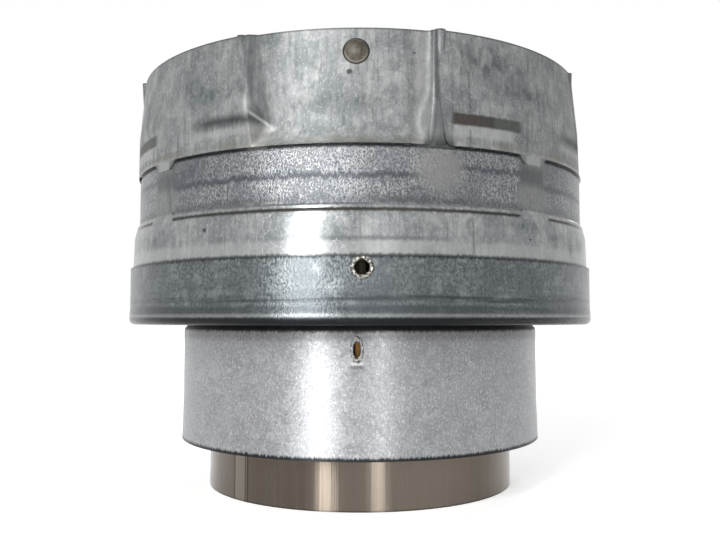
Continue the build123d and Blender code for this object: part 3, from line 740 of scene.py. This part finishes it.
def wall_finish():
    """Outer wall: smooth spangled sheet, scuffed rough where the forming jaws gripped it."""
    made, tree = start_material("galvanised_wall")
    crystals = use(tree, SPANGLE, {"Grain": 300.0, "Contrast": 0.7})
    grains = wall_grains(tree)
    height = use(tree, PLACE)["Height"]
    smooth = plain_zinc(tree, crystals["Shade"], grains)

    gap = sector(tree, -JAW_HALF, JAW_HALF, soft=1.5, turn=JAW_TURN)
    rough = blend(tree, gap, gripped_zinc(tree, grains), gap_zinc(tree, grains))
    tab_height = band(tree, middle=GRIP_TOP, half=0.0021, soft=0.0002, ragged=0.0004)
    tab = meet(tree, sector(tree, -2.4, 2.4, soft=0.3, turn=JAW_TURN), tab_height)
    rough = mark(tree, rough, GRIP_MARKS["tab"], tab)
    scuff_middle, scuff_half = (SCUFF_FOOT + GRIP_TOP) / 2, (GRIP_TOP - SCUFF_FOOT) / 2
    gripped = band(tree, middle=scuff_middle, half=scuff_half, soft=0.0002, ragged=0.0006)
    colour = blend(tree, gripped, smooth, rough)
    colour = grip_edge_marks(tree, colour, grains, gap)

    beside = use(tree, SECTOR, {"Turn": LOCK_TURN, "Left": -19.6, "Right": -14.8, "Soft edge": 0.7})
    fold_height, fold_foot, dull = fold_masks(tree)
    colour = groove_marks(tree, colour)
    colour = fold_marks(tree, colour, height, beside, fold_height, fold_foot)
    colour = notch_marks(tree, colour, height, beside["Within"], grains["mottle"])
    colour = wall_edge_marks(tree, colour, gripped)

    roughness = wall_roughness(tree, height, gripped, dull)
    grain = blend(tree, gripped, crystals["Height"], grains["flecks"])
    close_material(tree, colour, roughness, grain, bump=0.16, metallic=0.65, drawn=0.75)
    return made


def cap_finish():
    """Base cap: rough blue-grey zinc, drawn and streaked round its wall."""
    made, tree = start_material("galvanised_cap")
    grain = streaks(tree, across=2300.0, rise=1700.0, low=0.38, high=0.66, shift=5.0)
    combed = streaks(tree, across=1300.0, rise=260.0, low=0.45, high=0.68, shift=6.0)
    drawn = streaks(tree, across=40.0, rise=1600.0, low=0.42, high=0.62)
    wide = streaks(tree, across=100.0, rise=130.0, low=0.4, high=0.6, shift=2.0)
    pale = streaks(tree, across=300.0, rise=300.0, low=0.5, high=0.68, shift=9.0)
    top_half = spread(tree, use(tree, PLACE)["Height"], CAP_FOOT + 0.006, CAP_TOP)
    colour = ramp(tree, grain, CAP_TINTS)
    colour = mark(tree, colour, CAP_MARKS["wide"], wide)
    colour = mark(tree, colour, CAP_MARKS["pale"], pale)
    colour = mark(tree, colour, CAP_MARKS["combed"], combed, top_half)
    colour = mark(tree, colour, CAP_MARKS["drawn"], drawn, inverse(tree, top_half))
    line = band(tree, middle=CAP_FOOT + 0.0051, half=0.0006, soft=0.0004, ragged=0.0013, fleck=260.0)
    colour = mark(tree, colour, CAP_MARKS["line"], line, between(tree, drawn, 0.45, 1.0))
    shade = band(tree, middle=CAP_FOOT + 0.003, half=0.0008, soft=0.0006, ragged=0.0004)
    colour = mark(tree, colour, CAP_MARKS["shade"], shade)
    # A bright line of painted highlight just above the rolled foot
    bead = band(tree, middle=CAP_FOOT + 0.0019, half=0.0003, soft=0.0003, ragged=0.0002)
    colour = mark(tree, colour, CAP_MARKS["bead"], bead)
    # Near black painted shade on the rolled foot, where it turns under
    roll = band(tree, middle=CAP_FOOT + 0.0004, half=0.0011, soft=0.0003, ragged=0.0002)
    colour = mark(tree, colour, CAP_MARKS["roll"], roll)
    edge = band(tree, middle=CAP_TOP, half=0.0004, soft=0.0003, ragged=0.0014)
    colour = mark(tree, colour, CAP_MARKS["top edge"], edge)
    rubbed = patch(tree, RUBBED_TURN, (CAP_FOOT + CAP_TOP) / 2, RUBBED_HALF, half_height=0.014, soft=0.6)
    roughness = rougher(tree, between(tree, grain, 0.31, 0.43), rubbed, 0.2)
    close_material(tree, colour, roughness, grain, bump=0.08, metallic=0.9, drawn=0.75)
    return made


def collar_finish():
    """Stove collar: smooth galvanised sheet with a fine spangle, painted shadow under the cap, and painted
    shade and a painted highlight at the dent below each lanced slot.
    """
    made, tree = start_material("galvanised_collar")
    crystals = use(tree, SPANGLE, {"Grain": 420.0, "Contrast": 0.7})
    wide = streaks(tree, across=80.0, rise=60.0, low=0.4, high=0.65, shift=7.0)
    pale_grain = streaks(tree, across=2700.0, rise=2100.0, low=0.48, high=0.68)
    dark_grain = streaks(tree, across=2000.0, rise=1500.0, low=0.48, high=0.7, shift=4.0)
    colour = ramp(tree, crystals["Shade"], COLLAR_TINTS, start=0.2, end=0.8)
    colour = mark(tree, colour, COLLAR_MARKS["wide"], wide)
    colour = mark(tree, colour, COLLAR_MARKS["pale grain"], pale_grain)
    colour = mark(tree, colour, COLLAR_MARKS["dark grain"], dark_grain)
    # Painted shadow under the cap, and a darker band of painted shade below it
    top = band(tree, middle=CAP_FOOT - 0.0006, half=0.0009, soft=0.0004, ragged=0.0012)
    colour = mark(tree, colour, COLLAR_MARKS["top"], top)
    neck = band(tree, middle=CAP_FOOT - 0.0022, half=0.001, soft=0.0008, ragged=0.0006)
    colour = mark(tree, colour, COLLAR_MARKS["neck"], neck)
    foot = band(tree, middle=COLLAR_FOOT, half=0.0007, soft=0.0003, ragged=0.0014, fleck=2600.0)
    colour = mark(tree, colour, COLLAR_MARKS["foot"], foot)
    # Painted shade below each lanced slot's tongue, with a bright line of painted highlight above that shade
    dimple_shade = band(tree, middle=LANCE_HEIGHT - 0.0036, half=0.0004, soft=0.0003, ragged=0.0003)
    below = sector(tree, -1.9, 1.9, soft=0.6, pitch=SCREW_PITCH, turn=LANCE_TURN)
    colour = mark(tree, colour, COLLAR_MARKS["dimple_shade"], dimple_shade, below)
    pushed = band(tree, middle=LANCE_HEIGHT - 0.0028, half=0.0003, soft=0.0003, ragged=0.0002)
    below = sector(tree, -1.6, 1.6, soft=0.6, pitch=SCREW_PITCH, turn=LANCE_TURN)
    colour = mark(tree, colour, COLLAR_MARKS["pushed"], pushed, below)
    roughness = between(tree, crystals["Height"], 0.38, 0.5)
    close_material(tree, colour, roughness, crystals["Height"], bump=0.15, metallic=0.75, drawn=0.75)
    return made


def liner_finish():
    """Flue liner and upper liner: bright rolled stainless with a warm cast, scorched behind the slots."""
    made, tree = start_material("rolled_stainless")
    rolled = streaks(tree, across=24.0, rise=3.0, low=0.3, high=0.7, shift=7.0)
    fine = streaks(tree, across=1600.0, rise=12.0, low=0.4, high=0.75, shift=4.0)
    colour = ramp(tree, rolled, LINER_TINTS)
    colour = mark(tree, colour, LINER_MARKS["fine"], fine)
    weld = sector(tree, -3.2, 3.2, soft=0.4, pitch=WHOLE_TURN, turn=WELD_TURN)
    colour = mark(tree, colour, LINER_MARKS["weld"], weld)
    for turn in (WELD_TURN - 3.2, WELD_TURN + 2.7, WELD_TURN + 3.9):
        weld_edge = sector(tree, -0.3, 0.3, soft=0.2, pitch=WHOLE_TURN, turn=turn)
        colour = mark(tree, colour, LINER_MARKS["weld edge"], weld_edge)
    foot = band(tree, middle=LINER_FOOT, half=0.0003, soft=0.0002, ragged=0.0002)
    colour = mark(tree, colour, LINER_MARKS["foot"], foot)
    scorch = band(tree, middle=LANCE_HEIGHT, half=0.003, soft=0.001, ragged=0.001)
    outside = spread(tree, use(tree, PLACE)["Reach"], LINER_REACH - 0.0003, LINER_REACH - 0.0001)
    behind_slot = sector(tree, -3.0, 3.0, soft=1.0, pitch=SCREW_PITCH, turn=LANCE_TURN)
    colour = mark(tree, colour, LINER_MARKS["scorch"], scorch, outside, behind_slot)
    roughness = between(tree, fine, 0.24, 0.3)
    close_material(tree, colour, roughness, fine, bump=0.03, metallic=1.0, drawn=1.0)
    return made


def rivet_finish():
    """Rivets: dull steel with a warm tone, a ring pressed round the middle of the head, a painted highlight
    on the lower half of its rim, and painted shade round its edge.
    """
    made, tree = start_material("rivet_metal")
    worn = streaks(tree, across=1500.0, rise=1500.0, low=0.35, high=0.65)
    colour = ramp(tree, worn, RIVET_TINTS)
    head = use(tree, SECTOR, {"Turn": RIVET_TURN, "Left": -3.0, "Right": 3.0, "Soft edge": 1.0})
    aside = maths(tree, "MULTIPLY", head["Within"], RIVET_REACH * radians(1.0))
    above = maths(tree, "SUBTRACT", use(tree, PLACE)["Height"], RIVET_HEIGHT)
    away = distance(tree, aside, above)
    off_ring = maths(tree, "ABSOLUTE", maths(tree, "SUBTRACT", away, RING_RADIUS))
    ring = spread(tree, off_ring, 0.0001, 0.0004, 1.0, 0.0)
    colour = mark(tree, colour, RIVET_MARKS["ring"], ring)
    # Painted highlight on the lower half of the rim, then painted shade round the head's edge
    lower_half = spread(tree, above, -0.0012, 0.0006, 1.0, 0.0)
    lit_rim = meet(tree, spread(tree, away, *LIT_RIM), lower_half)
    colour = mark(tree, colour, RIVET_MARKS["lit rim"], lit_rim)
    colour = mark(tree, colour, RIVET_MARKS["rim shade"], spread(tree, away, *RIM_SHADE))
    close_material(tree, colour, between(tree, worn, 0.5, 0.6), worn, bump=0.06, metallic=0.7)
    return made


def torn_edge_finish():
    """Bright torn zinc at the edges of punched and lanced holes."""
    made, tree = start_material("torn_edge")
    torn = streaks(tree, across=1900.0, rise=1900.0, low=0.4, high=0.62, shift=1.0)
    colour = ramp(tree, torn, TORN_TINTS)
    close_material(tree, colour, 0.38, torn, bump=0.4, metallic=0.6)
    return made


def dress(node_names, material):
    """Give CAD nodes a material."""
    for name in node_names:
        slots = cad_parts[name].data.materials
        slots.clear()
        slots.append(material)


def on_sheet(turn, reach, height):
    """Point on a round sheet, from its turn, its distance from the axis and its height."""
    return reach * sin(radians(turn)), -reach * cos(radians(turn)), height


def torn_ring(name, hole, size, finish):
    """Ragged ring of torn metal on the sheet round a hole, which is given as turn, reach and height."""
    turn, reach, height = hole
    half_width, half_height, thickness = size
    bpy.ops.object.select_all(action="DESELECT")
    bpy.ops.mesh.primitive_torus_add(
        major_radius=1.0, minor_radius=thickness, major_segments=56, minor_segments=8
    )
    piece = bpy.context.object
    piece.name = name
    for point in piece.data.vertices:
        wave = noise.noise(point.co * WAVE_SCALE + Vector((turn, reach, 0)))
        fray = noise.noise(point.co * FRAY_SCALE + Vector((0, turn, reach)))
        point.co *= 1.0 + WAVE_HEIGHT * wave + FRAY_HEIGHT * fray
        point.co.x *= half_width
        point.co.y *= half_height
        point.co.z *= half_width * (RING_DEPTH + RING_DEPTH_WAVE * wave)
    piece.rotation_euler = (radians(90), 0, radians(turn))
    piece.location = on_sheet(turn, reach, height)
    bpy.ops.object.transform_apply(location=True, rotation=True, scale=True)
    bpy.ops.object.shade_smooth()
    piece.data.materials.append(finish)
    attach(piece, "root")


def lance_tongue(name, turn, finish):
    """Tongue of sheet pushed out below a lanced slot."""
    bpy.ops.object.select_all(action="DESELECT")
    bpy.ops.mesh.primitive_uv_sphere_add(segments=32, ring_count=16, radius=1.0)
    piece = bpy.context.object
    piece.name = name
    piece.scale = TONGUE_SIZE
    piece.rotation_euler = (0, 0, radians(turn))
    piece.location = on_sheet(turn, COLLAR_REACH, LANCE_HEIGHT - TONGUE_DROP)
    bpy.ops.object.transform_apply(location=True, rotation=True, scale=True)
    bpy.ops.object.shade_smooth()
    piece.data.materials.append(finish)
    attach(piece, "root")


def rolled_liner(finish):
    """Flue liner as a finely rounded tube in place of the solid's coarser one."""
    bpy.ops.object.select_all(action="DESELECT")
    middle = LINER_REACH - LINER_SHEET / 2
    bpy.ops.mesh.primitive_cylinder_add(vertices=288, radius=middle, depth=LINER_TOP, end_fill_type="NOTHING")
    piece = bpy.context.object
    piece.name = "rolled_liner"
    piece.location = (0, 0, LINER_TOP / 2)
    bpy.ops.object.transform_apply(location=True, rotation=True, scale=True)
    sheet = piece.modifiers.new("sheet", "SOLIDIFY")
    sheet.thickness = LINER_SHEET
    sheet.offset = 0.0
    sheet.use_even_offset = True
    bpy.ops.object.modifier_apply(modifier=sheet.name)
    bpy.ops.object.shade_smooth_by_angle(angle=radians(30))
    piece.data.materials.append(finish)
    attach(piece, "root")
    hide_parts("flue_liner")


def seen_directly(tree):
    """One for the camera and for reflections, nought for light that falls on the object."""
    rays = node(tree, "ShaderNodeLightPath").outputs
    direct = maths(tree, "MAXIMUM", rays["Is Camera Ray"], rays["Is Glossy Ray"])
    return maths(tree, "MAXIMUM", direct, rays["Is Transmission Ray"])


def make_floor():
    """Plain pale floor that reads as white behind the object and keeps its shadow."""
    bpy.ops.object.select_all(action="DESELECT")
    bpy.ops.mesh.primitive_plane_add(size=FLOOR_WIDTH, location=(0, 0, 0))
    floor = bpy.context.object
    floor.name = "floor"
    made, tree = start_material("white_floor")
    away = node(tree, "ShaderNodeVectorMath", {0: object_point(tree)}, operation="LENGTH").outputs["Value"]
    glow = meet(tree, seen_directly(tree), spread(tree, away, GLOW_NEAR, GLOW_FAR, GLOW_LOW, GLOW_HIGH))
    inputs = {
        "Base Color": FLOOR_COLOUR,
        "Roughness": 0.9,
        "Emission Color": WHITE,
        "Emission Strength": glow,
    }
    shader = node(tree, "ShaderNodeBsdfPrincipled", inputs)
    node(tree, "ShaderNodeOutputMaterial", {"Surface": shader.outputs[0]})
    floor.data.materials.append(made)


def make_world():
    """White surround for the camera and for reflections, with plainer light on the sheet."""
    world = bpy.data.worlds.new("studio")
    bpy.context.scene.world = world
    world.use_nodes = True
    tree = world.node_tree
    tree.nodes.clear()
    strength = between(tree, seen_directly(tree), WORLD_LIGHT, 1.0)
    light = node(tree, "ShaderNodeBackground", {"Color": WHITE, "Strength": strength})
    node(tree, "ShaderNodeOutputWorld", {"Surface": light.outputs[0]})


def make_camera():
    """Camera at the photograph's place and angle."""
    turned = (radians(90 + CAMERA_PITCH), 0, 0)
    bpy.ops.object.camera_add(location=(0, -CAMERA_BACK, CAMERA_HEIGHT), rotation=turned)
    camera = bpy.context.object
    camera.data.lens = CAMERA_LENS
    camera.data.sensor_width = CAMERA_SENSOR
    camera.data.clip_start = CAMERA_NEAR
    bpy.context.scene.camera = camera


def add_softbox(name, place, aim, size, power):
    """Area lamp at a place, turned to face a point."""
    bpy.ops.object.light_add(type="AREA", location=place)
    lamp = bpy.context.object
    lamp.name = name
    lamp.data.shape = "RECTANGLE"
    lamp.data.size, lamp.data.size_y = size
    lamp.data.energy = power
    way = Vector(aim) - Vector(place)
    lamp.rotation_euler = way.to_track_quat("-Z", "Y").to_euler()


SIDES = ("front", "right", "back", "left")
dress(["outer_wall"], wall_finish())
dress(["base_cap"], cap_finish())
dress(["stove_collar"], collar_finish())
stainless = liner_finish()
dress(["liner_reducer"] + [f"clip_{side}" for side in SIDES], stainless)
dress([f"rivet_{side}" for side in SIDES], rivet_finish())

torn_edge = torn_edge_finish()
rolled_liner(stainless)
for count in range(SCREW_PLACES):
    pilot_turn = PILOT_TURN + SCREW_PITCH * count
    lance_turn = LANCE_TURN + SCREW_PITCH * count
    pilot_hole = (pilot_turn, CAP_REACH, PILOT_HEIGHT)
    lanced_slot = (lance_turn, COLLAR_REACH, LANCE_HEIGHT)
    torn_ring(f"pilot_burr_{count}", pilot_hole, PILOT_BURR, torn_edge)
    torn_ring(f"lance_rim_{count}", lanced_slot, LANCE_RIM, torn_edge)
    lance_tongue(f"lance_tongue_{count}", lance_turn, torn_edge)

make_floor()
make_world()
make_camera()
for softbox in SOFTBOXES:
    add_softbox(*softbox)
bpy.context.scene.view_settings.view_transform = "Standard"
